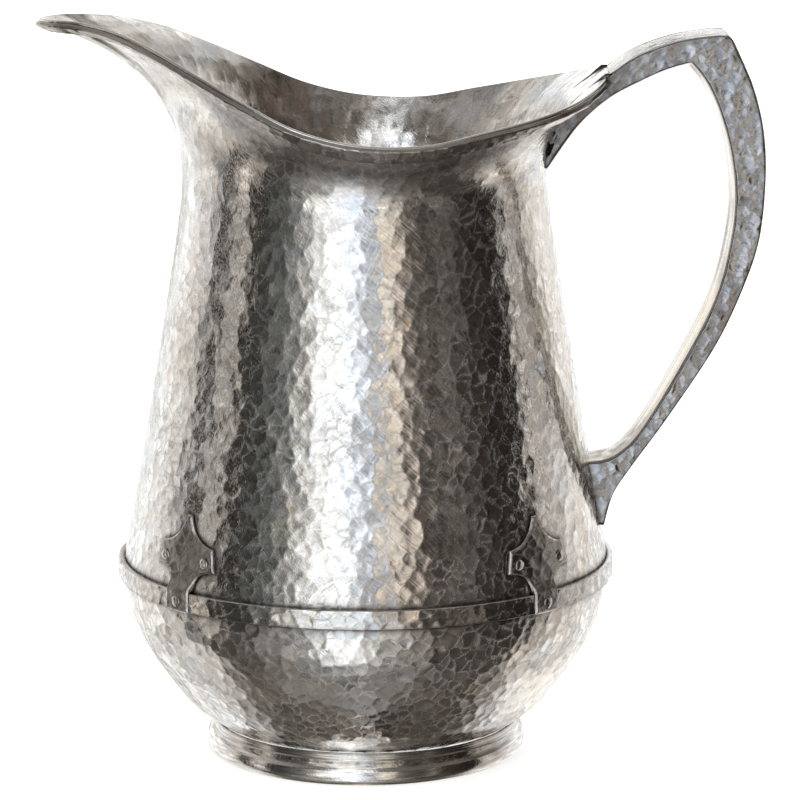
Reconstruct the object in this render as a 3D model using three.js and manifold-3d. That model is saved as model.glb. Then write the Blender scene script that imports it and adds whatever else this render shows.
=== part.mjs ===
// Hammered silver water pitcher.
//
// A raised bowl and a tall neck with a drawn-out spout meet behind a riveted strap band.
// Four pointed strap mounts are riveted over the band. A rectangular wire stiffens the lip,
// a turned ring makes the foot, and the handle is a hollow box made of four soldered plates.
//
// Millimetres, +Z up. The spout points along -X and the handle along +X. The whole assembly
// is shifted along X at the end, so that the middle of its bounding box stands on the origin.

import * as THREE from 'three';
import { ParametricGeometry } from 'three/addons/geometries/ParametricGeometry.js';
import { mergeVertices } from 'three/addons/utils/BufferGeometryUtils.js';
import Module from 'manifold-3d';

// ---- Driving dimensions ----

const WALL = 1.0; // sheet thickness of bowl and neck
const GAP = 0.3; // clearance between neighbouring pieces
const ROUND_SEGMENTS = 64; // facets around a turned piece
const LIP_COLUMNS = 60; // columns of the neck, two for each lip station

const SEAM_Z = 59.6; // joint between bowl and neck, hidden by the band
const NECK_Z = 182; // narrowest height, where the lip starts to flare
const NECK_LEAN = 0.03; // how fast the neck still narrows where the flare starts
const MOUTH_COVER_Z = 222; // a cover across the mouth, used only to cut the handle

// Outside of the neck, as [radius, height].
const NECK_PROFILE = [
	[ 77.9, 59.6 ], [ 77.0, 66 ], [ 73.9, 83 ], [ 69.8, 105.6 ],
	[ 66.0, 128 ], [ 62.9, 147 ], [ 59.9, 166.4 ], [ 57.6, 182 ]
];

// Outside of the bowl from the middle of its base up to the seam, as [radius, height].
const BOWL_PROFILE = [
	[ 0, 4 ], [ 24, 4.6 ], [ 38, 6.4 ], [ 47.9, 10 ], [ 56.3, 16 ], [ 61.8, 22.4 ],
	[ 67.6, 30.4 ], [ 72.2, 38.4 ], [ 76.0, 48 ], [ 77.9, 59.6 ]
];

// Inner edge of the lip from the handle round to the spout's tip. Each station is
// [x, y, z, slope of the flare in degrees, reach of the flare, climb before it flares].
// The other side mirrors it.
const LIP_STATIONS = [
	[ 76.0, 0, 219.3, 36, 11, 24 ], [ 75.0, 14, 218.2, 34, 11, 23 ], [ 70.5, 31, 216.0, 31, 11, 20 ],
	[ 63.0, 44, 213.0, 33, 10, 16 ], [ 52.0, 53.3, 210.0, 42, 8, 13 ], [ 36.0, 59.6, 206.5, 52, 7, 10 ],
	[ 18.0, 63.7, 203.1, 58, 6, 9 ], [ - 2.0, 65.5, 203.5, 60, 6, 9 ], [ - 20.0, 63.3, 207.8, 57, 7, 11 ],
	[ - 36.0, 57, 215.2, 50, 8, 16 ], [ - 50.0, 48, 222.3, 40, 9, 24 ], [ - 64.0, 36.5, 229.0, 28, 9, 32 ],
	[ - 77.0, 23.5, 233.4, 26, 8, 38 ], [ - 88.0, 14, 235.2, 36, 6, 42 ], [ - 96.5, 9.5, 235.5, 42, 5, 43 ],
	[ - 101.6, 0, 235.3, 42, 5, 43 ]
];

const LIP_WIRE_HEIGHT = 4.3;
const LIP_WIRE_THICKNESS = 1.5;

const BAND_BOTTOM = 57.5;
const BAND_TOP = 63.6;
const BAND_THICKNESS = 1.2;
const BAND_BULGE = 0.15; // how far the band's face bulges at its middle

const STRAP_AZIMUTHS = [ 45, 136.5, 223.5, 315 ];
const STRAP_THICKNESS = 1.2;
const STRAP_TIP_Z = 87;
const STRAP_TIP_HALF = 0.9;
const STRAP_SHOULDER_TOP = [ 11.4, 77.8 ];
const STRAP_SHOULDER_BOTTOM = [ 13.2, 70.8 ];
const STRAP_WAIST_HALF = 5;
const STRAP_RIVETS = [ [ - 9, 73.3 ], [ 9, 73.3 ], [ 0, 60.6 ] ];
const RIVET_RADIUS = 1.5;
const RIVET_HEAD_RISE = 0.4;

// Section of the foot ring, as [radius, height], outside first.
const FOOT_PROFILE = [
	[ 50.4, 0 ], [ 51.3, 1.2 ], [ 51.6, 3.0 ], [ 51.2, 4.9 ], [ 50.1, 6.3 ], [ 48.9, 7.3 ],
	[ 48.5, 8.4 ], [ 49.1, 9.6 ], [ 48.6, 9.9 ], [ 46.2, 8.6 ], [ 45.6, 6.5 ], [ 45.8, 0 ]
];

// Handle, seen from the side, as [x, z]. Each outline runs from the lip to the lower joint.
const HANDLE_OUTER_TOP = [
	[ 77, 219.2 ], [ 85.7, 224.8 ], [ 97, 228.9 ], [ 108, 230.7 ], [ 113.2, 230.9 ]
];
const HANDLE_OUTER_BACK = [
	[ 114.6, 229.6 ], [ 117.2, 224.4 ], [ 121.6, 214 ], [ 124.8, 201 ], [ 125.7, 186 ], [ 124.1, 167 ],
	[ 119, 150.5 ], [ 110.5, 132 ], [ 96, 109.3 ], [ 84.4, 92.9 ], [ 79, 84.3 ], [ 76.3, 74.5 ]
];
const HANDLE_INNER_TOP = [
	[ 57.2, 189.4 ], [ 62.6, 197.7 ], [ 69, 205.3 ], [ 77, 212 ], [ 86, 216.8 ], [ 94, 220.4 ],
	[ 101.8, 222.7 ]
];
const HANDLE_INNER_BACK = [
	[ 101.8, 222.7 ], [ 106.6, 216.8 ], [ 111, 207.6 ], [ 114.9, 194 ], [ 116.5, 180 ], [ 115.2, 165.5 ],
	[ 110.8, 147.6 ], [ 100.4, 126 ], [ 88, 105 ], [ 81.6, 98 ], [ 76.5, 95.2 ], [ 70.5, 94.4 ]
];
const HANDLE_ROOT = [ 54, 214 ]; // a point inside the mouth, where the side plates' blanks close
const HANDLE_PLATE = 1.1; // sheet thickness of all four handle plates
const HANDLE_CROWN = 1.6; // how far the inner plate bulges at its middle
const HANDLE_WIDE_Z = 231; // the handle is widest here
const HANDLE_WIDE_HALF = 13.2;
const HANDLE_NARROW_Z = 75; // and narrowest here
const HANDLE_NARROW_HALF = 10.2;

// ---- Finishes ----

const FINISH = {
	bowl: { color: 0xb9b4ac, roughness: 0.22 },
	neck: { color: 0xb7b3ac, roughness: 0.2 },
	wire: { color: 0xbdb8af, roughness: 0.22 },
	foot: { color: 0xc2beb6, roughness: 0.16 },
	strap: { color: 0xa8a299, roughness: 0.28 },
	rivet: { color: 0x96908a, roughness: 0.3 },
	handle: { color: 0xa6a6a8, roughness: 0.26 },
	handleInside: { color: 0xc4c1ba, roughness: 0.16 }
};

function silver( finish ) {

	return new THREE.MeshStandardMaterial( { ...finish, metalness: 1 } );

}

// ---- Mesh helpers ----

const wasm = await Module();
wasm.setup();

const radians = THREE.MathUtils.degToRad;
const MERGE_TOLERANCE = 1e-4;

// Merges shared corners, drops faces that collapsed to a line and turns the faces outwards.
function weld( geometry ) {

	geometry.deleteAttribute( 'normal' );
	geometry.deleteAttribute( 'uv' );
	const welded = mergeVertices( geometry, MERGE_TOLERANCE );
	const position = welded.attributes.position;
	const faces = [];
	let volume = 0;
	const a = new THREE.Vector3();
	const b = new THREE.Vector3();
	const c = new THREE.Vector3();

	for ( let i = 0; i < welded.index.count; i += 3 ) {

		const corners = [ 0, 1, 2 ].map( ( k ) => welded.index.getX( i + k ) );
		if ( new Set( corners ).size < 3 ) continue;
		faces.push( ...corners );
		a.fromBufferAttribute( position, corners[ 0 ] );
		b.fromBufferAttribute( position, corners[ 1 ] );
		c.fromBufferAttribute( position, corners[ 2 ] );
		volume += a.dot( b.cross( c ) );

	}

	if ( volume < 0 ) faces.reverse();
	welded.setIndex( faces );
	return welded;

}

// A closed surface from pointAt( turn, step ), with turn going round and step along it.
function loft( pointAt, columns, rows ) {

	const surface = new ParametricGeometry( ( u, v, target ) => {

		const turn = Math.round( u * columns ) % columns / columns;
		target.copy( pointAt( turn, Math.round( v * rows ) ) );

	}, columns, rows );
	return weld( surface );

}

function toSolid( geometry ) {

	const vertProperties = Float32Array.from( geometry.attributes.position.array );
	const triVerts = Uint32Array.from( geometry.index.array );
	return new wasm.Manifold( new wasm.Mesh( { numProp: 3, vertProperties, triVerts } ) );

}

function toGeometry( solid ) {

	const mesh = solid.getMesh();
	const geometry = new THREE.BufferGeometry();
	geometry.setAttribute( 'position', new THREE.BufferAttribute( mesh.vertProperties, 3 ) );
	geometry.setIndex( new THREE.BufferAttribute( mesh.triVerts, 1 ) );
	return geometry;

}

function cut( geometry, ...tools ) {

	return toGeometry( tools.reduce( ( solid, tool ) => solid.subtract( tool ), toSolid( geometry ) ) );

}

// Turns a closed [radius, height] outline about the vertical axis.
function turned( outline, segments = ROUND_SEGMENTS ) {

	const points = outline.map( ( [ r, z ] ) => new THREE.Vector2( r, z ) );
	if ( points[ 0 ].x > 0 ) points.push( points[ 0 ].clone() );
	const geometry = new THREE.LatheGeometry( points, segments );
	geometry.rotateX( Math.PI / 2 );
	return weld( geometry );

}

function smoothLine( points, divisions ) {

	const curve = new THREE.SplineCurve( points.map( ( [ x, y ] ) => new THREE.Vector2( x, y ) ) );
	return curve.getPoints( divisions );

}

// Moves every point of an open line sideways, to the left of its direction.
function offsetLine( line, distance ) {

	return line.map( ( point, i ) => {

		const before = line[ Math.max( i - 1, 0 ) ];
		const after = line[ Math.min( i + 1, line.length - 1 ) ];
		const entering = point.clone().sub( before ).normalize();
		const leaving = after.clone().sub( point ).normalize();
		const along = entering.clone().add( leaving ).normalize();
		const side = new THREE.Vector2( - along.y, along.x );
		const reference = i === 0 ? leaving : entering;
		const mitre = side.dot( new THREE.Vector2( - reference.y, reference.x ) );
		return point.clone().addScaledVector( side, distance / mitre );

	} );

}

// ---- Neck, lip and spout ----

function mirroredStations( pick ) {

	const half = LIP_STATIONS.map( ( station ) => pick( station, 1 ) );
	const back = LIP_STATIONS.slice( 1, - 1 ).map( ( station ) => pick( station, - 1 ) );
	return [ ...half, ...back.reverse() ];

}

const lipEdge = new THREE.CatmullRomCurve3(
	mirroredStations( ( [ x, y, z ], side ) => new THREE.Vector3( x, side * y, z ) ), true, 'catmullrom' );
const lipFlare = new THREE.CatmullRomCurve3(
	mirroredStations( ( station ) => new THREE.Vector3( radians( station[ 3 ] ), station[ 4 ], station[ 5 ] ) ),
	true, 'catmullrom' );
const neckSpline = smoothLine( NECK_PROFILE, 96 );
const UP = new THREE.Vector3( 0, 0, 1 );

function neckRadius( z ) {

	const above = Math.max( 1, neckSpline.findIndex( ( point ) => point.y >= z ) );
	const low = neckSpline[ above - 1 ];
	const high = neckSpline[ above ];
	return THREE.MathUtils.mapLinear( z, low.y, high.y, low.x, high.x );

}

// The lip's frame: its inner edge, the direction in which the wall arrives there and the
// direction in which the wall's outside faces.
function lipFrame( turn ) {

	const edge = lipEdge.getPoint( turn );
	const along = lipEdge.getTangent( turn );
	const flare = lipFlare.getPoint( turn );
	const outwards = new THREE.Vector3( along.y, - along.x, 0 ).normalize();
	const arrival = outwards.multiplyScalar( Math.cos( flare.x ) ).addScaledVector( UP, Math.sin( flare.x ) );
	arrival.addScaledVector( along, - arrival.dot( along ) ).normalize();
	const facing = new THREE.Vector3().crossVectors( along, arrival );
	return { edge, arrival, facing, reach: flare.y, rise: flare.z };

}

// Outside of the wall: climb 0 to 1 is the tapered neck and 1 to 2 the flare up to the lip.
function wallPoint( turn, climb ) {

	const { edge, arrival, facing, reach, rise } = lipFrame( turn );
	const azimuth = Math.atan2( edge.y, edge.x );
	const onCircle = ( radius, z ) => new THREE.Vector3(
		radius * Math.cos( azimuth ), radius * Math.sin( azimuth ), z );

	if ( climb <= 1 ) {

		const z = THREE.MathUtils.lerp( SEAM_Z + GAP / 2, NECK_Z, climb );
		return onCircle( neckRadius( z ), z );

	}

	const start = onCircle( neckRadius( NECK_Z ), NECK_Z );
	const end = edge.clone().addScaledVector( facing, WALL );
	const startHandle = onCircle( neckRadius( NECK_Z ) - NECK_LEAN * rise, NECK_Z + rise );
	const endHandle = end.clone().addScaledVector( arrival, - reach );
	return new THREE.CubicBezierCurve3( start, startHandle, endHandle, end ).getPoint( climb - 1 );

}

function wallNormal( turn, climb ) {

	const step = 1e-3;
	const low = Math.max( climb - step, 0 );
	const high = Math.min( climb + step, 2 );
	const before = wallPoint( ( turn - step + 1 ) % 1, climb );
	const around = wallPoint( ( turn + step ) % 1, climb ).sub( before );
	const upwards = wallPoint( turn, high ).sub( wallPoint( turn, low ) );
	return around.cross( upwards ).normalize();

}

function wallOffset( turn, climb, distance ) {

	return wallPoint( turn, climb ).addScaledVector( wallNormal( turn, climb ), distance );

}

const NECK_ROWS = 5;
const FLARE_ROWS = 9;
const WALL_CLIMBS = [
	...Array.from( { length: NECK_ROWS }, ( _, i ) => i / NECK_ROWS ),
	...Array.from( { length: FLARE_ROWS + 1 }, ( _, i ) => 1 + i / FLARE_ROWS )
];

function upperBody() {

	const outside = WALL_CLIMBS.map( ( climb ) => [ climb, 0 ] );
	const inside = WALL_CLIMBS.map( ( climb ) => [ climb, - WALL ] ).reverse();
	const section = [ ...outside, ...inside, outside[ 0 ] ];
	return loft( ( turn, row ) => wallOffset( turn, ...section[ row ] ), LIP_COLUMNS, section.length - 1 );

}

// How far down the wall a given distance below the lip is, as a climb.
function climbBelowLip( turn, distance ) {

	const step = 0.01;
	let climb = 2;
	let travelled = 0;
	while ( travelled < distance ) {

		travelled += wallPoint( turn, climb ).distanceTo( wallPoint( turn, climb - step ) );
		climb -= step;

	}

	return climb;

}

function lipWire( grow = 0 ) {

	const near = GAP - grow;
	const far = GAP + LIP_WIRE_THICKNESS + grow;
	const height = LIP_WIRE_HEIGHT + grow;
	const outside = [ [ 0, far ], [ height / 2, far ], [ height, far ] ];
	const section = [ [ 0, near ], ...outside, [ height, near ], [ height / 2, near ], [ 0, near ] ];
	return loft( ( turn, row ) => {

		const [ down, out ] = section[ row ];
		const point = wallOffset( turn, climbBelowLip( turn, down ), out );
		if ( down === 0 && grow > 0 ) point.addScaledVector( lipFrame( turn ).arrival, grow );
		return point;

	}, LIP_COLUMNS, section.length - 1 );

}

// The space that the neck fills, grown by the clearance and closed across the mouth.
function neckEnvelope() {

	const bottom = new THREE.Vector3( 0, 0, SEAM_Z );
	const top = new THREE.Vector3( 0, 0, MOUTH_COVER_Z );
	const overLip = ( turn, out ) => {

		const { arrival } = lipFrame( turn );
		return wallOffset( turn, 2, out ).addScaledVector( arrival, GAP );

	};
	const lastClimb = WALL_CLIMBS.length;
	return loft( ( turn, row ) => {

		if ( row === 0 ) return bottom;
		if ( row <= lastClimb ) return wallOffset( turn, WALL_CLIMBS[ row - 1 ], GAP );
		if ( row === lastClimb + 1 ) return overLip( turn, GAP );
		if ( row === lastClimb + 2 ) return overLip( turn, - WALL );
		return top;

	}, LIP_COLUMNS, lastClimb + 3 );

}

// ---- Bowl and foot ----

function lowerBowl() {

	const outside = smoothLine( BOWL_PROFILE, 13 );
	const rim = outside[ outside.length - 1 ];
	rim.y -= GAP / 2;
	const inside = offsetLine( outside, WALL ).reverse();
	inside[ 0 ].y = rim.y;
	inside[ inside.length - 1 ].x = 0;
	return turned( [ ...outside, ...inside ].map( ( { x, y } ) => [ x, y ] ) );

}

function footRing() {

	return turned( FOOT_PROFILE );

}

// ---- Strap band, strap mounts and rivets ----

function bandRadius( z ) {

	return neckRadius( Math.max( z, SEAM_Z ) ) + GAP;

}

function strapBand() {

	const middle = ( BAND_BOTTOM + BAND_TOP ) / 2;
	const heights = [ BAND_BOTTOM, middle, BAND_TOP ];
	const bulge = [ 0, BAND_BULGE, 0 ];
	const inner = heights.map( ( z ) => [ bandRadius( SEAM_Z ), z ] );
	const outer = heights.map( ( z, i ) => [ bandRadius( z ) + BAND_THICKNESS + bulge[ i ], z ] );
	return turned( [ ...outer, ...inner.reverse() ] );

}

// Half outline of a strap mount, from its foot up to its pointed tip, as [across, height].
function strapOutline() {

	const [ shoulderX, shoulderZ ] = STRAP_SHOULDER_TOP;
	const [ elbowX, elbowZ ] = STRAP_SHOULDER_BOTTOM;
	const shape = new THREE.Shape();
	shape.moveTo( - STRAP_WAIST_HALF, BAND_BOTTOM );
	shape.lineTo( STRAP_WAIST_HALF, BAND_BOTTOM );
	shape.lineTo( STRAP_WAIST_HALF, BAND_TOP );
	shape.quadraticCurveTo( STRAP_WAIST_HALF, elbowZ - 0.6, elbowX - 1.5, elbowZ - 0.3 );
	shape.lineTo( elbowX, elbowZ );
	shape.lineTo( shoulderX, shoulderZ );
	shape.quadraticCurveTo( STRAP_TIP_HALF + 2.4, shoulderZ + 1, STRAP_TIP_HALF, STRAP_TIP_Z );
	shape.lineTo( - STRAP_TIP_HALF, STRAP_TIP_Z );
	shape.quadraticCurveTo( - STRAP_TIP_HALF - 2.4, shoulderZ + 1, - shoulderX, shoulderZ );
	shape.lineTo( - elbowX, elbowZ );
	shape.lineTo( - elbowX + 1.5, elbowZ - 0.3 );
	shape.quadraticCurveTo( - STRAP_WAIST_HALF, elbowZ - 0.6, - STRAP_WAIST_HALF, BAND_TOP );
	return shape;

}

// Radius of the strap mounts' back: over the band and, above it, on the neck.
function strapBack( z ) {

	const overBand = bandRadius( BAND_BOTTOM ) + BAND_THICKNESS + BAND_BULGE + GAP;
	return z <= BAND_TOP ? overBand : neckRadius( z ) + GAP;

}

// The strap mounts' common skin: it lies on the neck above the band and steps out over the band.
function strapSkin() {

	const step = 1.8;
	const foot = BAND_BOTTOM - 0.5;
	const heights = [ foot, BAND_TOP, BAND_TOP + step, 70, 78, STRAP_TIP_Z + 1 ];
	const back = heights.map( ( z ) => [ strapBack( z ), z ] );
	const front = back.map( ( [ r, z ] ) => [ r + STRAP_THICKNESS, z ] ).reverse();
	return turned( [ ...back, ...front ] );

}

// Points a solid built along +Y, with X across and Z up, to an azimuth about the body's axis.
function faceAzimuth( geometry, azimuth ) {

	return geometry.rotateZ( radians( azimuth - 90 ) );

}

function strapMount( azimuth ) {

	const reach = 100;
	const extent = { depth: reach, bevelEnabled: false, curveSegments: 4 };
	const blank = new THREE.ExtrudeGeometry( strapOutline(), extent );
	blank.rotateX( Math.PI / 2 ).translate( 0, reach, 0 );
	const mount = toSolid( weld( faceAzimuth( blank, azimuth ) ) ).intersect( toSolid( strapSkin() ) );
	const drill = ( place ) => toSolid( weld( rivetPin( place, azimuth, RIVET_RADIUS + GAP, reach ) ) );
	return toGeometry( STRAP_RIVETS.reduce( ( solid, place ) => solid.subtract( drill( place ) ), mount ) );

}

// A pin along the radius through one rivet's place, reaching well past both faces.
function rivetPin( [ across, z ], azimuth, radius, length ) {

	const pin = new THREE.CylinderGeometry( radius, radius, length, 12 );
	pin.translate( across, length / 2, z );
	return faceAzimuth( pin, azimuth );

}

function rivet( [ across, z ], azimuth ) {

	const back = Math.sqrt( strapBack( z ) ** 2 - across ** 2 ) + 0.1;
	const front = back + STRAP_THICKNESS + RIVET_HEAD_RISE / 2;
	const outline = [
		[ 0, back ], [ RIVET_RADIUS, back ], [ RIVET_RADIUS, front ],
		[ 0.6 * RIVET_RADIUS, front + 0.8 * RIVET_HEAD_RISE ], [ 0, front + RIVET_HEAD_RISE ]
	];
	const geometry = new THREE.LatheGeometry( outline.map( ( [ x, y ] ) => new THREE.Vector2( x, y ) ), 12 );
	geometry.translate( across, 0, z );
	return weld( faceAzimuth( geometry, azimuth ) );

}

// ---- Handle ----

function handleHalfWidth( z ) {

	const climb = ( z - HANDLE_NARROW_Z ) / ( HANDLE_WIDE_Z - HANDLE_NARROW_Z );
	return THREE.MathUtils.lerp( HANDLE_NARROW_HALF, HANDLE_WIDE_HALF, climb );

}

const handleOuter = [ ...smoothLine( HANDLE_OUTER_TOP, 7 ), ...smoothLine( HANDLE_OUTER_BACK, 24 ) ];
const handleInner = [
	...smoothLine( HANDLE_INNER_TOP, 10 ),
	...smoothLine( HANDLE_INNER_BACK, 22 ).slice( 1 )
];

// A strip along a side outline. Its section is a list of [across, depth], where across is a
// share of the half width and depth is measured into the handle.
function handleStrip( line, section ) {

	const layers = new Map();
	section.forEach( ( [ , depth ] ) => layers.set( depth, offsetLine( line, depth ) ) );
	const ring = [ ...section, section[ 0 ] ];
	const middles = [ 0, line.length - 1 ].map( ( i ) => {

		const layer = layers.get( section[ 0 ][ 1 ] )[ i ];
		return new THREE.Vector3( layer.x, 0, layer.y );

	} );
	return loft( ( turn, row ) => {

		if ( row === 0 ) return middles[ 0 ];
		if ( row === line.length + 1 ) return middles[ 1 ];
		const [ across, depth ] = ring[ Math.round( turn * section.length ) ];
		const point = layers.get( depth )[ row - 1 ];
		const half = handleHalfWidth( point.y ) - HANDLE_PLATE - GAP;
		return new THREE.Vector3( point.x, across * half, point.y );

	}, section.length, line.length + 1 );

}

// The outer and inner plates fill the width between the two side plates.
function handleOuterPlate() {

	const inside = [ - 1, 0, 1 ].map( ( across ) => [ across, - HANDLE_PLATE ] );
	const outside = [ 1, 0, - 1 ].map( ( across ) => [ across, 0 ] );
	return handleStrip( handleOuter, [ ...inside, ...outside ] );

}

function handleInnerPlate() {

	const crownAt = ( across ) => [ across, - HANDLE_CROWN * ( 1 - across ** 2 ) ];
	const crown = [ - 1, - 0.6, 0, 0.6, 1 ].map( crownAt );
	const section = [ [ 0, HANDLE_PLATE ], [ - 1, HANDLE_PLATE ], ...crown, [ 1, HANDLE_PLATE ] ];
	return handleStrip( handleInner, section );

}

function handleSidePlate( side ) {

	const root = new THREE.Vector2( ...HANDLE_ROOT );
	const shape = new THREE.Shape( [ ...handleOuter, ...handleInner.toReversed(), root ] );
	const plate = new THREE.ExtrudeGeometry( shape, { depth: HANDLE_PLATE, bevelEnabled: false } );
	plate.rotateX( Math.PI / 2 );
	const position = plate.attributes.position;

	for ( let i = 0; i < position.count; i ++ ) {

		const inwards = position.getY( i ) < - HANDLE_PLATE / 2 ? HANDLE_PLATE : 0;
		position.setY( i, side * ( handleHalfWidth( position.getZ( i ) ) - inwards ) );

	}

	return weld( plate );

}

// ---- Assembly ----

const assembly = new THREE.Group();

function add( name, geometry, finish ) {

	const mesh = new THREE.Mesh( geometry, silver( finish ) );
	mesh.name = name;
	assembly.add( mesh );

}

add( 'upper_body', upperBody(), FINISH.neck );
add( 'lower_bowl', lowerBowl(), FINISH.bowl );
add( 'foot_ring', footRing(), FINISH.foot );
add( 'lip_wire', lipWire(), FINISH.wire );
add( 'strap_band', strapBand(), FINISH.strap );

STRAP_AZIMUTHS.forEach( ( azimuth, i ) => {

	add( `strap_mount_${ i + 1 }`, strapMount( azimuth ), FINISH.strap );
	STRAP_RIVETS.forEach( ( place, k ) => {

		add( `rivet_${ i + 1 }_${ k + 1 }`, rivet( place, azimuth ), FINISH.rivet );

	} );

} );

const bodySpace = [ toSolid( neckEnvelope() ), toSolid( lipWire( GAP ) ) ];
add( 'handle_side_front', cut( handleSidePlate( - 1 ), ...bodySpace ), FINISH.handle );
add( 'handle_side_back', cut( handleSidePlate( 1 ), ...bodySpace ), FINISH.handle );
add( 'handle_outer_plate', cut( handleOuterPlate(), ...bodySpace ), FINISH.handle );
add( 'handle_inner_plate', cut( handleInnerPlate(), ...bodySpace ), FINISH.handleInside );

const box = new THREE.Box3().setFromObject( assembly, true );
assembly.position.x = - ( box.min.x + box.max.x ) / 2;

const pitcher = new THREE.Group();
pitcher.add( assembly );

export default pitcher;
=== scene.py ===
"""Hammered silver water pitcher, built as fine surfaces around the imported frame.

Shapes are worked out in millimetres about the body's own axis, with the spout along -X and the
handle along +X, and are moved into the frame as each mesh is made.
"""

import math

import bpy
import numpy as np
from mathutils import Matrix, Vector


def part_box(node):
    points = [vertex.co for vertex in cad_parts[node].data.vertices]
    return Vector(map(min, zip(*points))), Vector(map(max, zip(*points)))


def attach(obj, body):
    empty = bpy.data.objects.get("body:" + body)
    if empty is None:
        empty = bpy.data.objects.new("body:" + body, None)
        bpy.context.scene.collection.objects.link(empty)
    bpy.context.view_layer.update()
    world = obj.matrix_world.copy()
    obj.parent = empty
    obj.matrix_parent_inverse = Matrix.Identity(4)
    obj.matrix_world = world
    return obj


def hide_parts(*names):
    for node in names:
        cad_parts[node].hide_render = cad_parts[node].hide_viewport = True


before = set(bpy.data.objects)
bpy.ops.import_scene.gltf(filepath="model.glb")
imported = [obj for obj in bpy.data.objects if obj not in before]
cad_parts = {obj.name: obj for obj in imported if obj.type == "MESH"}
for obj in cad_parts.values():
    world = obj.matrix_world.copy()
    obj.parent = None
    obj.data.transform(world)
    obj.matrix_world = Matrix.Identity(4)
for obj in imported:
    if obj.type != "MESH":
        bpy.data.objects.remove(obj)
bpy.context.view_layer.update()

MM = 0.001
foot_low, foot_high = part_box("foot_ring")
AXIS_X = (foot_low.x + foot_high.x) / 2  # the body's axis in the frame, in metres

# ---- Dimensions, in millimetres ----

WALL = 1.0
SEAM_Z = 59.75
NECK_Z = 182.0
NECK_LEAN = 0.03

NECK_PROFILE = [
    (77.9, 59.6), (77.0, 66), (73.9, 83), (69.8, 105.6),
    (66.0, 128), (62.9, 147), (59.9, 166.4), (57.6, 182),
]
BOWL_PROFILE = [
    (0, 4), (24, 4.6), (38, 6.4), (47.9, 10), (56.3, 16), (61.8, 22.4),
    (67.6, 30.4), (72.2, 38.4), (76.0, 48), (77.9, 59.6),
]
# x, y, z of the lip's inner edge, slope in degrees, reach and climb of the flare
LIP_STATIONS = [
    (76.0, 0, 219.3, 36, 11, 24), (75.0, 14, 218.2, 34, 11, 23), (70.5, 31, 216.0, 31, 11, 20),
    (63.0, 44, 213.0, 33, 10, 16), (52.0, 53.3, 210.0, 42, 8, 13), (36.0, 59.6, 206.5, 52, 7, 10),
    (18.0, 63.7, 203.1, 58, 6, 9), (-2.0, 65.5, 203.5, 60, 6, 9), (-20.0, 63.3, 207.8, 57, 7, 11),
    (-36.0, 57, 215.2, 50, 8, 16), (-50.0, 48, 222.3, 40, 9, 24), (-64.0, 36.5, 229.0, 28, 9, 32),
    (-77.0, 23.5, 233.4, 26, 8, 38), (-88.0, 14, 235.2, 36, 6, 42), (-96.5, 9.5, 235.5, 42, 5, 43),
    (-101.6, 0, 235.3, 42, 5, 43),
]
WIRE_HEIGHT = 4.3
WIRE_NEAR = 0.06
WIRE_FAR = 1.8
WIRE_ROUND = 0.3
RIM_ROUND = 0.28  # height of the rounding along the top of the wall

BAND_BOTTOM = 57.5
BAND_TOP = 63.6
BAND_THICKNESS = 1.2
BODY_GAP = 0.3

STRAP_AZIMUTHS = (45, 136.5, 223.5, 315)
STRAP_THICKNESS = 1.2
STRAP_TIP = (0.9, 87.0)
STRAP_SHOULDER_TOP = (11.4, 77.8)
STRAP_SHOULDER_BOTTOM = (13.2, 70.8)
STRAP_WAIST_HALF = 5.0
STRAP_RIVETS = ((-9, 73.3), (9, 73.3), (0, 60.6))
STRAP_BEVEL = 0.6
STRAP_OVER_BAND = 0.6  # the strap is hammered thinner where it crosses the band
STRAP_LIFT = 0.12  # how far the strap's back stands off the neck
RIVET_RADIUS = 1.75
RIVET_HEIGHT = 0.55
RIVET_LET_IN = 0.45

FOOT_PROFILE = [
    (50.4, 0), (51.3, 1.2), (51.6, 3.0), (51.2, 4.9), (50.1, 6.3), (48.9, 7.3),
    (48.5, 8.4), (49.1, 9.6), (48.6, 9.9), (46.2, 8.6), (45.6, 6.5), (45.8, 0),
]

FOOT_JOINT_RADIUS = 48.6
HAMMERED_FROM = 40  # radius inside which the bowl's bottom is plain

HANDLE_OUTER_TOP = [(77, 219.2), (85.7, 224.8), (97, 228.9), (108, 230.7), (113.2, 230.9)]
HANDLE_OUTER_BACK = [
    (114.6, 229.6), (117.2, 224.4), (121.6, 214), (124.8, 201), (125.7, 186), (124.1, 167),
    (119, 150.5), (110.5, 132), (96, 109.3), (84.4, 92.9), (79, 84.3), (76.3, 74.5),
]
HANDLE_INNER_TOP = [
    (57.2, 189.4), (62.6, 197.7), (69, 205.3), (77, 212), (86, 216.8), (94, 220.4), (101.8, 222.7),
]
HANDLE_INNER_BACK = [
    (101.8, 222.7), (106.6, 216.8), (111, 207.6), (114.9, 194), (116.5, 180), (115.2, 165.5),
    (110.8, 147.6), (100.4, 126), (88, 105), (81.6, 98), (76.5, 95.2), (70.5, 94.4),
]
HANDLE_PLATE = 1.1
# Each strip's crown, the side that it faces, how hammered it is, and its marks' seed.
OUTER_STRIP = (0.25, 1, 0.8, 1.3)
INNER_STRIP = (1.6, -1, 0.1, 2.1)
HANDLE_BEVEL = 0.55
HANDLE_LOW = (75, 10.2)  # height and half width of the handle at its foot
HANDLE_HIGH = (231, 13.2)  # and at its top
HANDLE_TOP_JOINT_Y = 13.0  # where across the wall the side plates' ends are fitted to it
HANDLE_FOOT_JOINT_Y = 10.4
HANDLE_TOP_JOINT = 187  # height from which the handle's top is joined to the neck
HANDLE_FOOT_JOINT = (73, 95)  # heights between which its foot is
HANDLE_BURY = 0.45  # how far the handle's ends reach under the wall's outside
WALL_ROUND = 75  # radius that stands for the wall's plan beside the handle

# ---- Hammer marks, as (pitch, least and most radius of a dish, tilt of a dish in radians) ----

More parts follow.
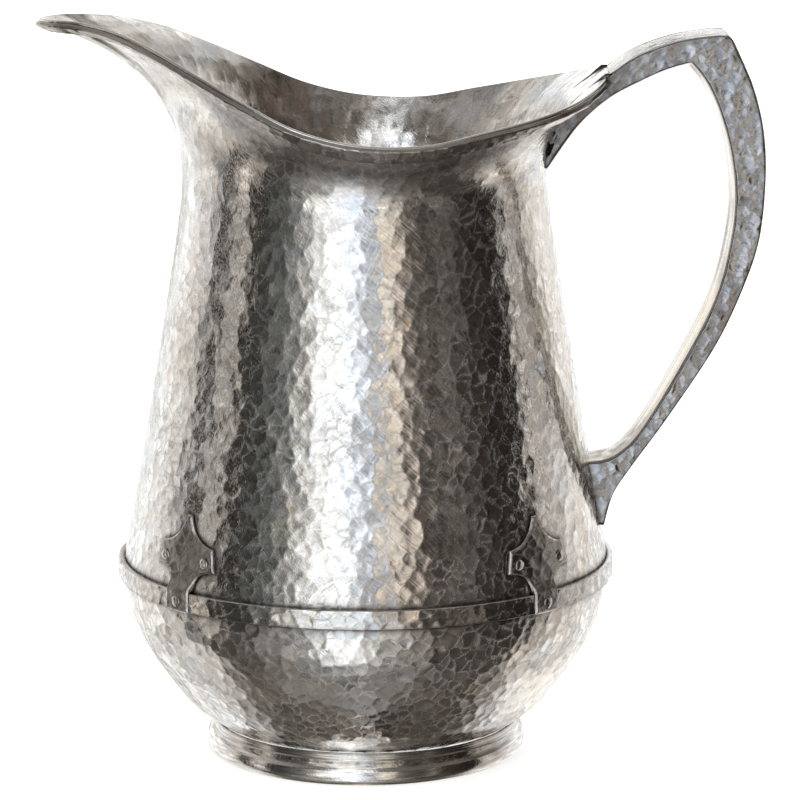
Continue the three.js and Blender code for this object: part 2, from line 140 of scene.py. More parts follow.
NECK_BLOWS = (3.75, (17, 38), 0.042)
BOWL_BLOWS = (3.6, (17, 38), 0.042)
INSIDE_BLOWS = (6.5, (30, 60), 0.03)
WIRE_BLOWS = (4.4, (16, 32), 0.045)
BAND_BLOWS = (3.9, (13, 26), 0.055)
STRAP_BLOWS = (3.3, (16, 30), 0.04)
SIDE_BLOWS = (2.9, (10, 22), 0.085)
STRIP_BLOWS = (3.6, (16, 30), 0.035)
INSIDE_RELIEF = 0.8  # how strong the relief is on the inside
INSIDE_RIDGE = 0.3  # and how strong its edges are

EDGE_HEIGHT = 0.042  # how much lower a blow lies than its neighbour before its edge ends
EDGE_BEND = 0.3  # how far the edges between blows are bent
ROW_SHARE = 0.88  # distance between rows of blows, as a share of the pitch
JITTER = 0.24  # how far a blow strays from its place, as a share of the pitch
DEPTH_SPREAD = 0.012
MOST_TILT = 1.5  # how many times the usual tilt a dish may have

# ---- Fineness of the meshes ----

FINE = 0.45  # spacing of the hammered surfaces' points, in millimetres
NECK_COLUMNS = 1120
TURN_SAMPLES = 6000
SWING_WINDOW = 121  # samples that the lip's change of bearing is averaged over
SWING_WEIGHT = 62  # how the columns are shared between the change of bearing
STEP_WEIGHT = 0.55  # and the length of the lip
NECK_ROWS = 208
FLARE_ROWS = 84
BOWL_COLUMNS = 1120
BAND_COLUMNS = 900
FOOT_COLUMNS = 360
RIVET_COLUMNS = 36
CORNER_STEPS = 4
INSIDE_STEP = 3  # the inside has one row for so many of the outside's

# ---- Curves ----


def stacked(*parts):
    return np.stack(parts, axis=-1)


def catmull(points, where, closed=False):
    """Points and tangents of a uniform Catmull-Rom curve at shares of its length from 0 to 1."""
    points = np.asarray(points, float)
    count = len(points)
    spans = count if closed else count - 1
    place = np.asarray(where, float) * spans
    index = np.floor(place).astype(int)
    if not closed:
        index = np.clip(index, 0, spans - 1)
    weight = (place - index)[..., None]

    def at(i):
        return points[i % count] if closed else points[np.clip(i, 0, count - 1)]

    p0, p1, p2, p3 = (at(index + k) for k in (-1, 0, 1, 2))
    v0 = (p2 - p0) / 2
    v1 = (p3 - p1) / 2
    a = 2 * p1 - 2 * p2 + v0 + v1
    b = -3 * p1 + 3 * p2 - 2 * v0 - v1
    value = ((a * weight + b) * weight + v0) * weight + p1
    tangent = (3 * a * weight + 2 * b) * weight + v0
    return value, tangent


def walked(line):
    """How far along a polyline each of its points is."""
    steps = np.linalg.norm(np.diff(line, axis=0), axis=1)
    return np.concatenate([[0], np.cumsum(steps)])


def sampled(line, length, places):
    return np.stack([np.interp(places, length, line[:, k]) for k in range(line.shape[1])], axis=1)


def evenly(line, spacing):
    """The same polyline with points about spacing apart."""
    line = np.asarray(line, float)
    length = walked(line)
    places = np.linspace(0, length[-1], max(2, int(round(length[-1] / spacing)) + 1))
    return sampled(line, length, places)


def smooth_line(points, spacing):
    dense, _ = catmull(points, np.linspace(0, 1, 40 * len(points)))
    return evenly(dense, spacing)


def side_normals(line):
    """Unit normals to the left of an open line in a plane."""
    along = np.gradient(line, axis=0)
    along /= np.linalg.norm(along, axis=1, keepdims=True)
    return np.stack([-along[:, 1], along[:, 0]], axis=1)


def unit(vectors):
    return vectors / np.maximum(np.linalg.norm(vectors, axis=-1, keepdims=True), 1e-9)


def between(first, second, share):
    return first * (1 - share) + second * share


def share_past(value, start, length):
    """How far a value has gone past start, as a share of length from 0 to 1."""
    return np.clip((value - start) / length, 0, 1)


def dark_beside(distance, reach, most):
    """Painted shade and tarnish beside a joint: most at the joint, fading with the distance from it."""
    return most * np.exp(-np.maximum(distance, 0) / reach)


neck_line = smooth_line(NECK_PROFILE, 0.5)


def neck_radius(z):
    return np.interp(z, neck_line[:, 1], neck_line[:, 0])


seam_z = NECK_PROFILE[0][1]
seam_radius = float(neck_radius(seam_z))


# ---- Relief ----


def hammer(turns, along, around, blows, seed, wrap=True):
    """Relief left by overlapping hammer blows, in millimetres, with each point's blow and edge.

    turns is the place round the surface as a share of a turn, along the distance up it and
    around the length of one whole turn there. Each blow leaves a shallow dish, slightly tipped.
    """
    pitch, curve, tilt = blows
    rng = np.random.default_rng(seed)
    row_pitch = pitch * ROW_SHARE
    low = math.floor(along.min() / row_pitch) - 3
    rows = math.ceil(along.max() / row_pitch) + 4 - low
    order = np.argsort(along.ravel())
    row_around = np.interp(
        (np.arange(rows) + low) * row_pitch, along.ravel()[order][::97], around.ravel()[order][::97]
    )
    counts = np.maximum(3, np.round(row_around / pitch)).astype(int)
    widest = int(counts.max()) + 4
    shift = rng.random(rows)
    cells = (rows, widest)
    most = MOST_TILT * tilt
    jitter_across = rng.uniform(-JITTER, JITTER, cells)
    jitter_along = rng.uniform(-JITTER, JITTER, cells)
    dish = rng.uniform(*curve, cells)
    tip_across = np.clip(rng.normal(0, tilt, cells), -most, most)
    tip_along = np.clip(rng.normal(0, tilt, cells), -most, most)
    depth = rng.uniform(-DEPTH_SPREAD, DEPTH_SPREAD, cells)
    tone = rng.random(cells)

    # The blows' outlines are bent a little, so that they come out rounded and not straight.
    waves = 2 * math.pi * round(float(around.mean()) * 1.25 / (2 * math.pi))
    bent = along + EDGE_BEND * np.sin(waves * turns + 2 * np.sin(0.8 * along))
    turns = turns + EDGE_BEND * np.sin(1.35 * along + 1.8 * np.sin(waves * turns)) / around
    along = bent

    best = np.full(turns.shape, 1e9)
    second = np.full(turns.shape, 1e9)
    mark = np.zeros(turns.shape)
    base_row = np.round(along / row_pitch).astype(int) - low
    for dr in (-2, -1, 0, 1, 2):
        row = np.clip(base_row + dr, 0, rows - 1)
        count = counts[row]
        base = np.floor(turns * count - shift[row]).astype(int)
        for dc in (-2, -1, 0, 1, 2, 3):
            cell = base + dc
            slot = cell % count if wrap else cell % widest
            centre = (cell + shift[row] + jitter_across[row, slot]) / count
            across = turns - centre
            if wrap:
                across = (across + 0.5) % 1 - 0.5
            across = across * around
            up = along - (row + low + jitter_along[row, slot]) * row_pitch
            height = (across**2 + up**2) / (2 * dish[row, slot])
            height += across * tip_across[row, slot] + up * tip_along[row, slot] + depth[row, slot]
            closer = height < best
            second = np.where(closer, best, np.minimum(second, height))
            mark = np.where(closer, tone[row, slot], mark)
            best = np.where(closer, height, best)
    edge = np.clip(1 - (second - best) / EDGE_HEIGHT, 0, 1)
    return best - best.mean(), mark, edge


def hammer_flat(across, along, span, blows, seed):
    """The same on a piece that does not close on itself. The span is wider than the piece."""
    around = np.full(across.shape, float(span))
    return hammer(across / span, along, around, blows, seed, wrap=False)


def turn_shares(rows, columns):
    """Each point's place round a turned surface, as a share of a turn."""
    return (np.arange(columns) / columns)[None].repeat(rows, 0)


def plain_marks(shade_and_tarnish):
    """Blow, ridge and painted shade and tarnish of a surface with no hammer marks."""
    return np.full(shade_and_tarnish.shape, 0.5), np.zeros(shade_and_tarnish.shape), shade_and_tarnish


def join_marks(*groups, axis=0):
    """The blows, ridges and painted shade and tarnish of several surfaces, each joined into one."""
    return [np.concatenate(parts, axis=axis) for parts in zip(*groups)]


def with_rear(marks, rear, rear_shade_and_tarnish):
    """The marks of a piece's struck front, joined to those of its plain rear, which takes an even
    painted shade and tarnish.
    """
    return join_marks(marks, plain_marks(np.full(rear.shape[:2], rear_shade_and_tarnish)), axis=1)


# ---- Meshes ----


# The third mark is painted shade and tarnish in joints, crevices and on hidden faces.
MARK_NAMES = ("blow", "ridge", "shade_and_tarnish")


def add_object(name, data):
    added = bpy.data.objects.new(name, data)
    bpy.context.scene.collection.objects.link(added)
    return added


def grid_faces(rows, columns, close_rows):
    """Quads of a grid of points whose columns close on themselves."""
    last_row = rows if close_rows else rows - 1
    r, c = np.meshgrid(np.arange(last_row), np.arange(columns), indexing="ij")
    r2 = (r + 1) % rows
    c2 = (c + 1) % columns
    quads = stacked(r * columns + c, r * columns + c2, r2 * columns + c2, r2 * columns + c)
    return quads.reshape(-1, 4)


def make_piece(name, points, slot, marks, close_rows=False):
    """A closed mesh from a grid of points in millimetres, riding on the body in place of its node.

    The first and last rows are joined to each other, or else each is closed with a cap.
    """
    rows, columns = points.shape[:2]
    places = points.reshape(-1, 3)
    quads = grid_faces(rows, columns, close_rows)
    triangles = np.zeros((0, 3), int)
    values = [m.ravel() for m in marks]
    if not close_rows:
        first = len(places)
        places = np.concatenate([places, points[0].mean(0)[None], points[-1].mean(0)[None]])
        values = [np.append(value, [plain] * 2) for value, plain in zip(values, (0.5, 0, 0))]
        c = np.arange(columns)
        c2 = (c + 1) % columns
        top = (rows - 1) * columns
        near = np.stack([np.full(columns, first), c2, c], axis=1)
        far = np.stack([np.full(columns, first + 1), top + c, top + c2], axis=1)
        triangles = np.concatenate([near, far])

    fans = np.concatenate([quads[:, [0, 1, 2]], quads[:, [0, 2, 3]], triangles])
    a, b, c = (places[fans[:, k]] for k in range(3))
    if np.einsum("ij,ij->", a, np.cross(b, c)) < 0:  # it would be inside out
        quads = quads[:, ::-1]
        triangles = triangles[:, ::-1]

    mesh = bpy.data.meshes.new(name)
    mesh.vertices.add(len(places))
    world = places * MM + np.array([AXIS_X, 0, 0])
    mesh.vertices.foreach_set("co", world.astype(np.float32).ravel())
    corners = np.concatenate([quads.ravel(), triangles.ravel()]).astype(np.int32)
    starts = np.concatenate(
        [np.arange(len(quads)) * 4, len(quads) * 4 + np.arange(len(triangles)) * 3]
    ).astype(np.int32)
    mesh.loops.add(len(corners))
    mesh.loops.foreach_set("vertex_index", corners)
    mesh.polygons.add(len(starts))
    mesh.polygons.foreach_set("loop_start", starts)
    mesh.polygons.foreach_set("use_smooth", np.ones(len(starts), bool))
    mesh.update(calc_edges=True)
    for label, value in zip(MARK_NAMES, values):
        attribute = mesh.attributes.new(label, "FLOAT", "POINT")
        attribute.data.foreach_set("value", value.astype(np.float32))
    mesh.validate()
    piece = add_object("skin_" + name, mesh)
    piece.data.materials.append(MATERIALS[slot])
    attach(piece, "root")
    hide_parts(name)


def turned_surface(line, columns):
    """Points of a [radius, height] line turned about the axis, as rows by columns."""
    angle = np.arange(columns) * 2 * math.pi / columns
    ring = stacked(np.cos(angle), np.sin(angle))
    points = np.zeros((len(line), columns, 3))
    points[..., :2] = line[:, None, :1] * ring
    points[..., 2] = line[:, None, 1]
    return points


def surface_normals(points):
    """Normals of a grid whose columns run round and whose rows climb."""
    around = np.roll(points, -1, axis=1) - np.roll(points, 1, axis=1)
    return unit(np.cross(around, np.gradient(points, axis=0)))


# ---- Materials ----


class Tree:
    """A node tree, with short ways of adding the nodes that this scene uses."""

    def __init__(self, owner):
        owner.use_nodes = True
        self.nodes = owner.node_tree.nodes
        self.links = owner.node_tree.links

    def feed(self, socket, value):
        """Sets a socket to a number, a vector or a colour, or links it to an output."""
        if isinstance(value, (int, float)):
            socket.default_value = value
        elif isinstance(value, tuple):
            socket.default_value = (*value, 1) if socket.type == "RGBA" else value
        else:
            self.links.new(value, socket)

    def node(self, kind, inputs=None, **settings):
        node = self.nodes.new("ShaderNode" + kind)
        for label, value in settings.items():
            setattr(node, label, value)
        for label, value in (inputs or {}).items():
            self.feed(node.inputs[label], value)
        return node

    def noise(self, *values, **settings):
        """A noise texture of a place, a scale, a detail, a roughness and a distortion."""
        labels = ("Vector", "Scale", "Detail", "Roughness", "Distortion")
        return self.node("TexNoise", dict(zip(labels, values)), **settings)

    def scaled(self, value, low, high, new_low, new_high, easing="LINEAR"):
        """The value's range from low to high stretched to new_low to new_high, and cut off there."""
        labels = ("Value", "From Min", "From Max", "To Min", "To Max")
        inputs = dict(zip(labels, (value, low, high, new_low, new_high)))
        return self.node("MapRange", inputs, interpolation_type=easing).outputs["Result"]

    def maths(self, first, second, kind="ADD"):
        return self.node("Math", {0: first, 1: second}, operation=kind).outputs[0]

    def mix(self, share, first, second):
        """The first colour where share is 0 and the second where it is 1."""
        node = self.node("Mix", {"Factor": share}, data_type="RGBA")
        for socket, value in zip([s for s in node.inputs if s.type == "RGBA"], (first, second)):
            self.feed(socket, value)
        return [s for s in node.outputs if s.type == "RGBA"][0]

    def tones(self, value, stops, easing="LINEAR"):
        """A colour ramp with stops of (position, colour)."""
        node = self.node("ValToRGB", {0: value})
        node.color_ramp.interpolation = easing
        elements = node.color_ramp.elements
        while len(elements) > 1:
            elements.remove(elements[-1])
        for count, (position, colour) in enumerate(stops):
            element = elements[0] if count == 0 else elements.new(position)
            element.position = position
            element.color = (*colour, 1)
        return node.outputs["Color"]


# Tones that the blows take on under the tarnish, as (share, colour factor).
BLOW_TONES = [
    (0.0, (1.03, 0.95, 0.86)), (0.12, (0.60, 0.585, 0.57)), (0.26, (1.05, 1.05, 1.04)),
    (0.42, (0.76, 0.79, 0.83)), (0.56, (1.0, 1.0, 0.99)), (0.70, (0.66, 0.62, 0.58)),
    (0.86, (1.04, 1.03, 1.01)), (1.0, (0.54, 0.53, 0.515)),
]
# Dark brown of the painted shade and tarnish in joints, crevices and on hidden faces.
SHADE_TARNISH_COLOUR = (0.10, 0.085, 0.075)
RIDGE_ROUGHNESS = 0.24  # added to the roughness along the blows' edges
SHADE_TARNISH_ROUGHNESS = 0.25  # and where the painted shade and tarnish lie
RIDGE_METALLIC = 0.9  # how metallic the blows' edges still are
SCRATCH_DEPTH = 0.00002  # in metres


def silver_material(name, colour, roughness, tarnish, tint, scratch):
    """Polished sterling with tarnish in patches, a tone for each hammer blow and fine scratches."""
    material = bpy.data.materials.new(name)
    tree = Tree(material)
    scaled, mix, add = tree.scaled, tree.mix, tree.maths
    shader = tree.nodes["Principled BSDF"]
    place = tree.node("TexCoord").outputs["Object"]

    def noise(scale, detail, rough=0.55, vector=place, distortion=0.0):
        return tree.noise(vector, scale, detail, rough, distortion).outputs["Fac"]

    def stretched(turn, stretch):
        """The place turned first and then stretched, which one mapping node does the other way."""
        turned = tree.node("Mapping", {"Vector": place, "Rotation": turn}).outputs["Vector"]
        return tree.node("Mapping", {"Vector": turned, "Scale": stretch}).outputs["Vector"]

    def tinted(factors):
        return tuple(c * f for c, f in zip(colour, factors))

    blow, ridge, shade_and_tarnish = (
        tree.node("Attribute", attribute_name=label).outputs["Fac"] for label in MARK_NAMES
    )
    warm = tinted((1.0, 0.98, 0.955))
    cool = tinted((0.97, 0.985, 1.01))
    deep = tinted((0.55, 0.49, 0.44))
    clean = mix(scaled(noise(32, 3), 0.35, 0.65, 0, 1), warm, cool)
    per_blow = tree.tones(blow, [(share, tinted(factors)) for share, factors in BLOW_TONES])
    strength = scaled(noise(28, 3, 0.6), 0.35, 0.65, 0.35 * tint, tint)
    toned = mix(strength, clean, per_blow)
    patches = scaled(noise(20, 6, 0.62, distortion=0.6), 0.5, 0.74, 0, tarnish)
    specks = scaled(noise(420, 4, 0.7), 0.58, 0.78, 0, tarnish * 0.9)
    stained = mix(add(patches, specks, "MAXIMUM"), toned, deep)
    bright_edge = tuple(min(1, c * 1.08) for c in colour)
    dark_edge = tuple(c * 0.42 for c in warm)
    edge_tone = mix(scaled(noise(55, 3), 0.42, 0.58, 0, 1), bright_edge, dark_edge)
    ridged = mix(scaled(ridge, 0, 1, 0, 0.75), stained, edge_tone)
    # Painted shade and tarnish: the base colour is drawn towards a dark brown by the third mark, broken
    # up by fine noise.
    shade_and_tarnish_share = scaled(add(shade_and_tarnish, scaled(noise(500, 4), 0.3, 0.7, 0.7, 1.2), "MULTIPLY"), 0, 1, 0, 0.93)
    tree.feed(shader.inputs["Base Color"], mix(shade_and_tarnish_share, ridged, SHADE_TARNISH_COLOUR))

    fine = scaled(noise(700, 5, 0.7), 0.3, 0.7, -0.025, 0.035)
    broad = scaled(noise(45, 4), 0.3, 0.7, -0.02, 0.04)
    worn = add(add(fine, broad), add(ridge, RIDGE_ROUGHNESS, "MULTIPLY"))
    dulled = add(worn, add(shade_and_tarnish, SHADE_TARNISH_ROUGHNESS, "MULTIPLY"))
    tree.feed(shader.inputs["Roughness"], add(dulled, roughness))
    scuffs = add(ridge, scaled(noise(90, 3), 0.35, 0.65, 0.4, 1.1), "MULTIPLY")
    tree.feed(shader.inputs["Metallic"], scaled(scuffs, 0, 1, 1, RIDGE_METALLIC))

    hairs = noise(1, 2, 0.6, stretched((0, 0.85, 0.2), (2000, 2000, 70)))
    crossing = noise(1, 2, 0.6, stretched((0.1, -0.45, 0), (2300, 2300, 90)))
    lines = add(scaled(hairs, 0.5, 0.72, 0, 1), scaled(crossing, 0.58, 0.75, 0, 0.6))
    pits = noise(1300, 3, 0.6)
    relief = add(lines, add(pits, 0.35, "MULTIPLY"))
    bumps = {"Strength": scratch, "Distance": SCRATCH_DEPTH, "Height": relief}
    tree.feed(shader.inputs["Normal"], tree.node("Bump", bumps).outputs["Normal"])
    return material


# Each silver's colour, roughness, tarnish, tint of its blows and strength of its scratches.
SILVERS = {
    "neck_silver": ((0.92, 0.91, 0.895), 0.05, 0.45, 0.85, 0.8),
    "bowl_silver": ((0.92, 0.905, 0.885), 0.055, 0.45, 0.8, 0.45),
    "foot_silver": ((0.92, 0.905, 0.885), 0.07, 0.4, 0.2, 0.6),
    "wire_silver": ((0.52, 0.50, 0.48), 0.09, 0.7, 0.8, 0.5),
    "strap_silver": ((0.82, 0.80, 0.775), 0.07, 0.6, 0.85, 0.4),
    "rivet_silver": ((0.80, 0.775, 0.745), 0.14, 0.7, 0.3, 0.5),
    "handle_silver": ((0.50, 0.495, 0.495), 0.07, 0.9, 1.0, 0.6),
    "handle_polished": ((0.80, 0.77, 0.72), 0.08, 0.4, 0.2, 0.5),
}
MATERIALS = {name: silver_material(name, *look) for name, look in SILVERS.items()}

# ---- Neck, lip and spout ----


# The stations all the way round: as listed, and then back along the mirrored side.
lip_back = [(x, -y, *rest) for x, y, *rest in LIP_STATIONS[-2:0:-1]]
LIP_ROUND = np.array(LIP_STATIONS + lip_back, float)
LIP_EDGE = LIP_ROUND[:, :3]
LIP_FLARE = np.column_stack([np.radians(LIP_ROUND[:, 3]), LIP_ROUND[:, 4:]])


def lip_frames(turns):
    """The lip's edge, the way the wall arrives at it, the way it faces, and its flare."""
    edge, along = catmull(LIP_EDGE, turns, closed=True)
    flare, _ = catmull(LIP_FLARE, turns, closed=True)
    along = unit(along)
    outwards = unit(stacked(along[:, 1], -along[:, 0], np.zeros(len(turns))))
    arrival = outwards * np.cos(flare[:, :1])
    arrival[:, 2] += np.sin(flare[:, 0])
    arrival = unit(arrival - along * np.sum(arrival * along, axis=1, keepdims=True))
    return edge, arrival, np.cross(along, arrival), flare


def even_turns(count):
    """Places round the lip whose columns are spread evenly over both the neck and the lip."""
    turns = np.arange(TURN_SAMPLES) / TURN_SAMPLES
    edge, _ = catmull(LIP_EDGE, turns, closed=True)
    azimuth = np.unwrap(np.arctan2(edge[:, 1], edge[:, 0]))
    closed_edge = np.concatenate([edge, edge[:1]])
    step = np.linalg.norm(np.diff(closed_edge, axis=0), axis=1)
    swing = np.abs(np.diff(np.concatenate([azimuth, azimuth[:1] + 2 * math.pi])))
    smoothing = np.ones(SWING_WINDOW) / SWING_WINDOW
    swing = np.convolve(np.tile(swing, 3), smoothing, "same")[TURN_SAMPLES : 2 * TURN_SAMPLES]
    weight = SWING_WEIGHT * swing + STEP_WEIGHT * step
    total = np.concatenate([[0], np.cumsum(weight)])
    places = np.arange(count) * total[-1] / count
    return np.interp(places, total, np.arange(TURN_SAMPLES + 1) / TURN_SAMPLES)


def wall_grid(turns, climbs):
    """Outside of the wall: climb 0 to 1 is the tapered neck and 1 to 2 the flare."""
    edge, arrival, facing, flare = lip_frames(turns)
    azimuth = np.arctan2(edge[:, 1], edge[:, 0])
    circle = stacked(np.cos(azimuth), np.sin(azimuth))
    reach, rise = flare[:, 1], flare[:, 2]
    narrow = float(neck_radius(NECK_Z))

    start = np.concatenate([narrow * circle, np.full((len(turns), 1), NECK_Z)], axis=1)
    lean = (narrow - NECK_LEAN * rise)[:, None]
    start_handle = np.concatenate([lean * circle, (NECK_Z + rise)[:, None]], axis=1)
    end = edge + facing * WALL
    end_handle = end - arrival * reach[:, None]

    points = np.zeros((len(climbs), len(turns), 3))
    for row, climb in enumerate(climbs):
        if climb <= 1:
            z = SEAM_Z + (NECK_Z - SEAM_Z) * climb
            points[row, :, :2] = neck_radius(z) * circle
            points[row, :, 2] = z
            continue
        t = climb - 1
        points[row] = (
            (1 - t) ** 3 * start
            + 3 * t * (1 - t) ** 2 * start_handle
            + 3 * t**2 * (1 - t) * end_handle
            + t**3 * end
        )
    return points, arrival


def ease_shoulder(points, rounds=90, spread=7.0):
    """Rounds the turn from the straight neck into the flare."""
    share = np.exp(-(((points[..., 2:] - NECK_Z) / spread) ** 2)) * 0.5
    for _ in range(rounds):
        middle = (points[:-2] + points[2:]) / 2
        points[1:-1] += (middle - points[1:-1]) * share[1:-1]
    return points


neck_turns = even_turns(NECK_COLUMNS)
neck_climbs = np.arange(NECK_ROWS) / NECK_ROWS
flare_climbs = 1 + np.arange(FLARE_ROWS + 1) / FLARE_ROWS
outer, lip_arrival = wall_grid(neck_turns, np.concatenate([neck_climbs, flare_climbs]))
outer = ease_shoulder(outer)
outer_normals = surface_normals(outer)
neck_path = np.concatenate(
    [np.zeros((1, NECK_COLUMNS)), np.cumsum(np.linalg.norm(np.diff(outer, axis=0), axis=2), axis=0)]
)


def neck_shade_and_tarnish(points):
    """How much painted shade and tarnish the neck takes beside the pieces joined to it, and painted
    shade under the lip.
    """
    x, y, z = points[..., 0], points[..., 1], points[..., 2]
    dark = dark_beside(z - BAND_TOP - 0.4, 0.8, 0.93)
    radius = np.hypot(x, y)
    bearing = np.degrees(np.arctan2(y, x))
    outline = strap_outline()
    rim = np.concatenate([outline, outline[::-1] * (-1, 1)])
    for azimuth in STRAP_AZIMUTHS:
        swing = (bearing - azimuth + 180) % 360 - 180
        across = radius * np.sin(np.radians(swing))
        near = (np.abs(swing) < 15) & (z < 92) & (z > 60)
        gap = distance_to_line(np.stack([across[near], z[near]], axis=1), rim)
        dark[near] = np.maximum(dark[near], dark_beside(gap - 0.45, 0.7, 0.97))
    below = neck_path[-1] - neck_path
    dark = np.maximum(dark, dark_beside(np.abs(below - WIRE_HEIGHT), 0.5, 0.8))
    # Painted shade on the neck's sides under the flare of the lip, away from the spout.
    under_lip = np.clip(1 - np.abs(below - 10) / 11, 0, 1) * share_past(np.abs(y), 25, 15)
    dark = np.maximum(dark, 0.74 * under_lip * share_past(x, -62, 22))
    beside = np.abs(np.abs(y) - half_width(z))
    foot_from, foot_to = HANDLE_FOOT_JOINT
    joined = (x > 0) & ((z > HANDLE_TOP_JOINT) | ((z > foot_from) & (z < foot_to)))
    return np.where(joined, np.maximum(dark, dark_beside(beside, 0.5, 0.9)), dark)


def inner_skin(points, normals, turns, path, around, fade, seed):
    """The inside of a wall from its top row down, and its marks."""
    keep = np.unique(np.append(np.arange(0, len(points), INSIDE_STEP), len(points) - 1))
    soft, blow, ridge = hammer(turns[keep], path[keep], around[keep], INSIDE_BLOWS, seed)
    inner = points[keep] - normals[keep] * WALL
    inner -= normals[keep] * (INSIDE_RELIEF * soft * fade[keep])[..., None]
    marks = (blow[::-1], ridge[::-1] * INSIDE_RIDGE, ridge * 0)
    return inner[::-1], marks


def build_upper_body():
    azimuth = np.arctan2(outer[..., 1], outer[..., 0]) / (2 * math.pi) % 1
    around = 2 * math.pi * np.hypot(outer[..., 0], outer[..., 1])
    relief, blow, ridge = hammer(azimuth, neck_path, around, NECK_BLOWS, 11)
    height = outer[..., 2]
    polished = share_past(height, 118, 60) * 0.35
    smooth_lip = share_past(height, NECK_Z - 2, 12)
    strength = (1 - polished) * (1 - 0.3 * smooth_lip)
    outside = outer + outer_normals * (relief * strength)[..., None]

    fade = np.clip((neck_path[-1] - neck_path) / 3, 0, 1)
    inside, inside_marks = inner_skin(outer, outer_normals, azimuth, neck_path, around, fade, 12)

    turn = np.linspace(0, math.pi, 9)[1:-1, None, None]
    rim = outer[-1] - outer_normals[-1] * (WALL * (1 - np.cos(turn)) / 2)
    rim = rim + lip_arrival * (RIM_ROUND * np.sin(turn))
    outside_marks = (blow, ridge * strength, neck_shade_and_tarnish(outer))
    marks = join_marks(outside_marks, plain_marks(np.zeros(rim.shape[:2])), inside_marks)
    points = np.concatenate([outside, rim, inside])
    make_piece("upper_body", points, "neck_silver", marks, close_rows=True)


def rounded_box(width, height, radius, spacing):
    """Outline of a rounded rectangle from its near low corner, near side last."""
    corners = [
        (radius, radius, 1.0), (width - radius, radius, 1.5),
        (width - radius, height - radius, 0.0), (radius, height - radius, 0.5),
    ]
    outline = []
    for x, y, turn in corners:
        for a in np.linspace(math.pi * turn, math.pi * (turn + 0.5), CORNER_STEPS + 1):
            outline.append((x + radius * math.cos(a), y + radius * math.sin(a)))
    outline.append(outline[0])
    filled = []
    for (x0, y0), (x1, y1) in zip(outline, outline[1:]):
        parts = max(1, int(round(math.hypot(x1 - x0, y1 - y0) / spacing)))
        filled += [(x0 + (x1 - x0) * k / parts, y0 + (y1 - y0) * k / parts) for k in range(parts)]
    return np.array(filled)


def build_lip_wire():
    below = neck_path[-1] - neck_path
    section = rounded_box(WIRE_FAR - WIRE_NEAR, WIRE_HEIGHT, WIRE_ROUND, 0.4)
    length = np.linalg.norm(outer[-1] - np.roll(outer[-1], 1, axis=0), axis=1)
    along_lip = np.cumsum(length)
    points = np.zeros((len(section), NECK_COLUMNS, 3))
    for column in range(NECK_COLUMNS):
        reach = below[::-1, column]
        for axis in range(3):
            line = outer[::-1, column, axis]
            lean = outer_normals[::-1, column, axis]
            base = np.interp(section[:, 1], reach, line)
            out = np.interp(section[:, 1], reach, lean)
            points[:, column, axis] = base + out * (WIRE_NEAR + section[:, 0])
    share = (along_lip / along_lip[-1])[None].repeat(len(section), 0)
    level = section[:, 1:].repeat(NECK_COLUMNS, 1)
    whole = np.full(level.shape, along_lip[-1])
    relief, blow, ridge = hammer(share, level + 50, whole, WIRE_BLOWS, 21)
    top = section[:, 1] < WIRE_ROUND + 0.01
    raise_top = np.where(top, RIM_ROUND - section[:, 1].clip(0, RIM_ROUND), 0)
    points += lip_arrival[None] * raise_top[:, None, None]
    face = (section[:, 0] > WIRE_FAR - WIRE_NEAR - WIRE_ROUND - 0.01)[:, None]
    points += outer_normals[-1][None] * (relief * face)[..., None]
    # Painted shade and tarnish along the wire's lower edge.
    marks = (np.where(face, blow, 0.5), ridge * face, dark_beside(WIRE_HEIGHT - level, 0.5, 0.8))
    make_piece("lip_wire", points, "wire_silver", marks, close_rows=True)


# ---- Bowl, foot and band ----


def bowl_shade_and_tarnish(line):
    """Painted shade and tarnish under the band and round the foot's joint."""
    under_band = dark_beside(BAND_BOTTOM - 0.5 - line[:, 1], 0.9, 0.93)
    by_foot = dark_beside(np.abs(line[:, 0] - FOOT_JOINT_RADIUS), 0.8, 0.95)
    return np.maximum(under_band, by_foot)


def build_lower_bowl():
    line = smooth_line(BOWL_PROFILE, 0.4)
    line[-1, 1] = SEAM_Z - 0.1
    hidden = line[line[:, 0] < HAMMERED_FROM][::6]
    line = np.concatenate([hidden, evenly(line[line[:, 0] >= HAMMERED_FROM], FINE)])
    line[0, 0] = 0.05
    points = turned_surface(line, BOWL_COLUMNS)
    normals = surface_normals(points)
    turns = turn_shares(len(line), BOWL_COLUMNS)
    path = walked(line)[:, None].repeat(BOWL_COLUMNS, 1)
    around = (2 * math.pi * np.maximum(line[:, :1], 5)).repeat(BOWL_COLUMNS, 1)
    relief, blow, ridge = hammer(turns, path, around, BOWL_BLOWS, 31)
    relief = relief * share_past(line[:, :1], HAMMERED_FROM, 6)
    outside = points + normals * relief[..., None]

    fade = share_past(line[:, :1], 8, 20)
    inside, inside_marks = inner_skin(points, normals, turns, path, around, fade, 32)
    inside[-1, :, :2] = points[0, :, :2]
    shade_and_tarnish = bowl_shade_and_tarnish(line)[:, None].repeat(BOWL_COLUMNS, 1)
    marks = join_marks((blow, ridge, shade_and_tarnish), inside_marks)
    make_piece("lower_bowl", np.concatenate([outside, inside]), "bowl_silver", marks)


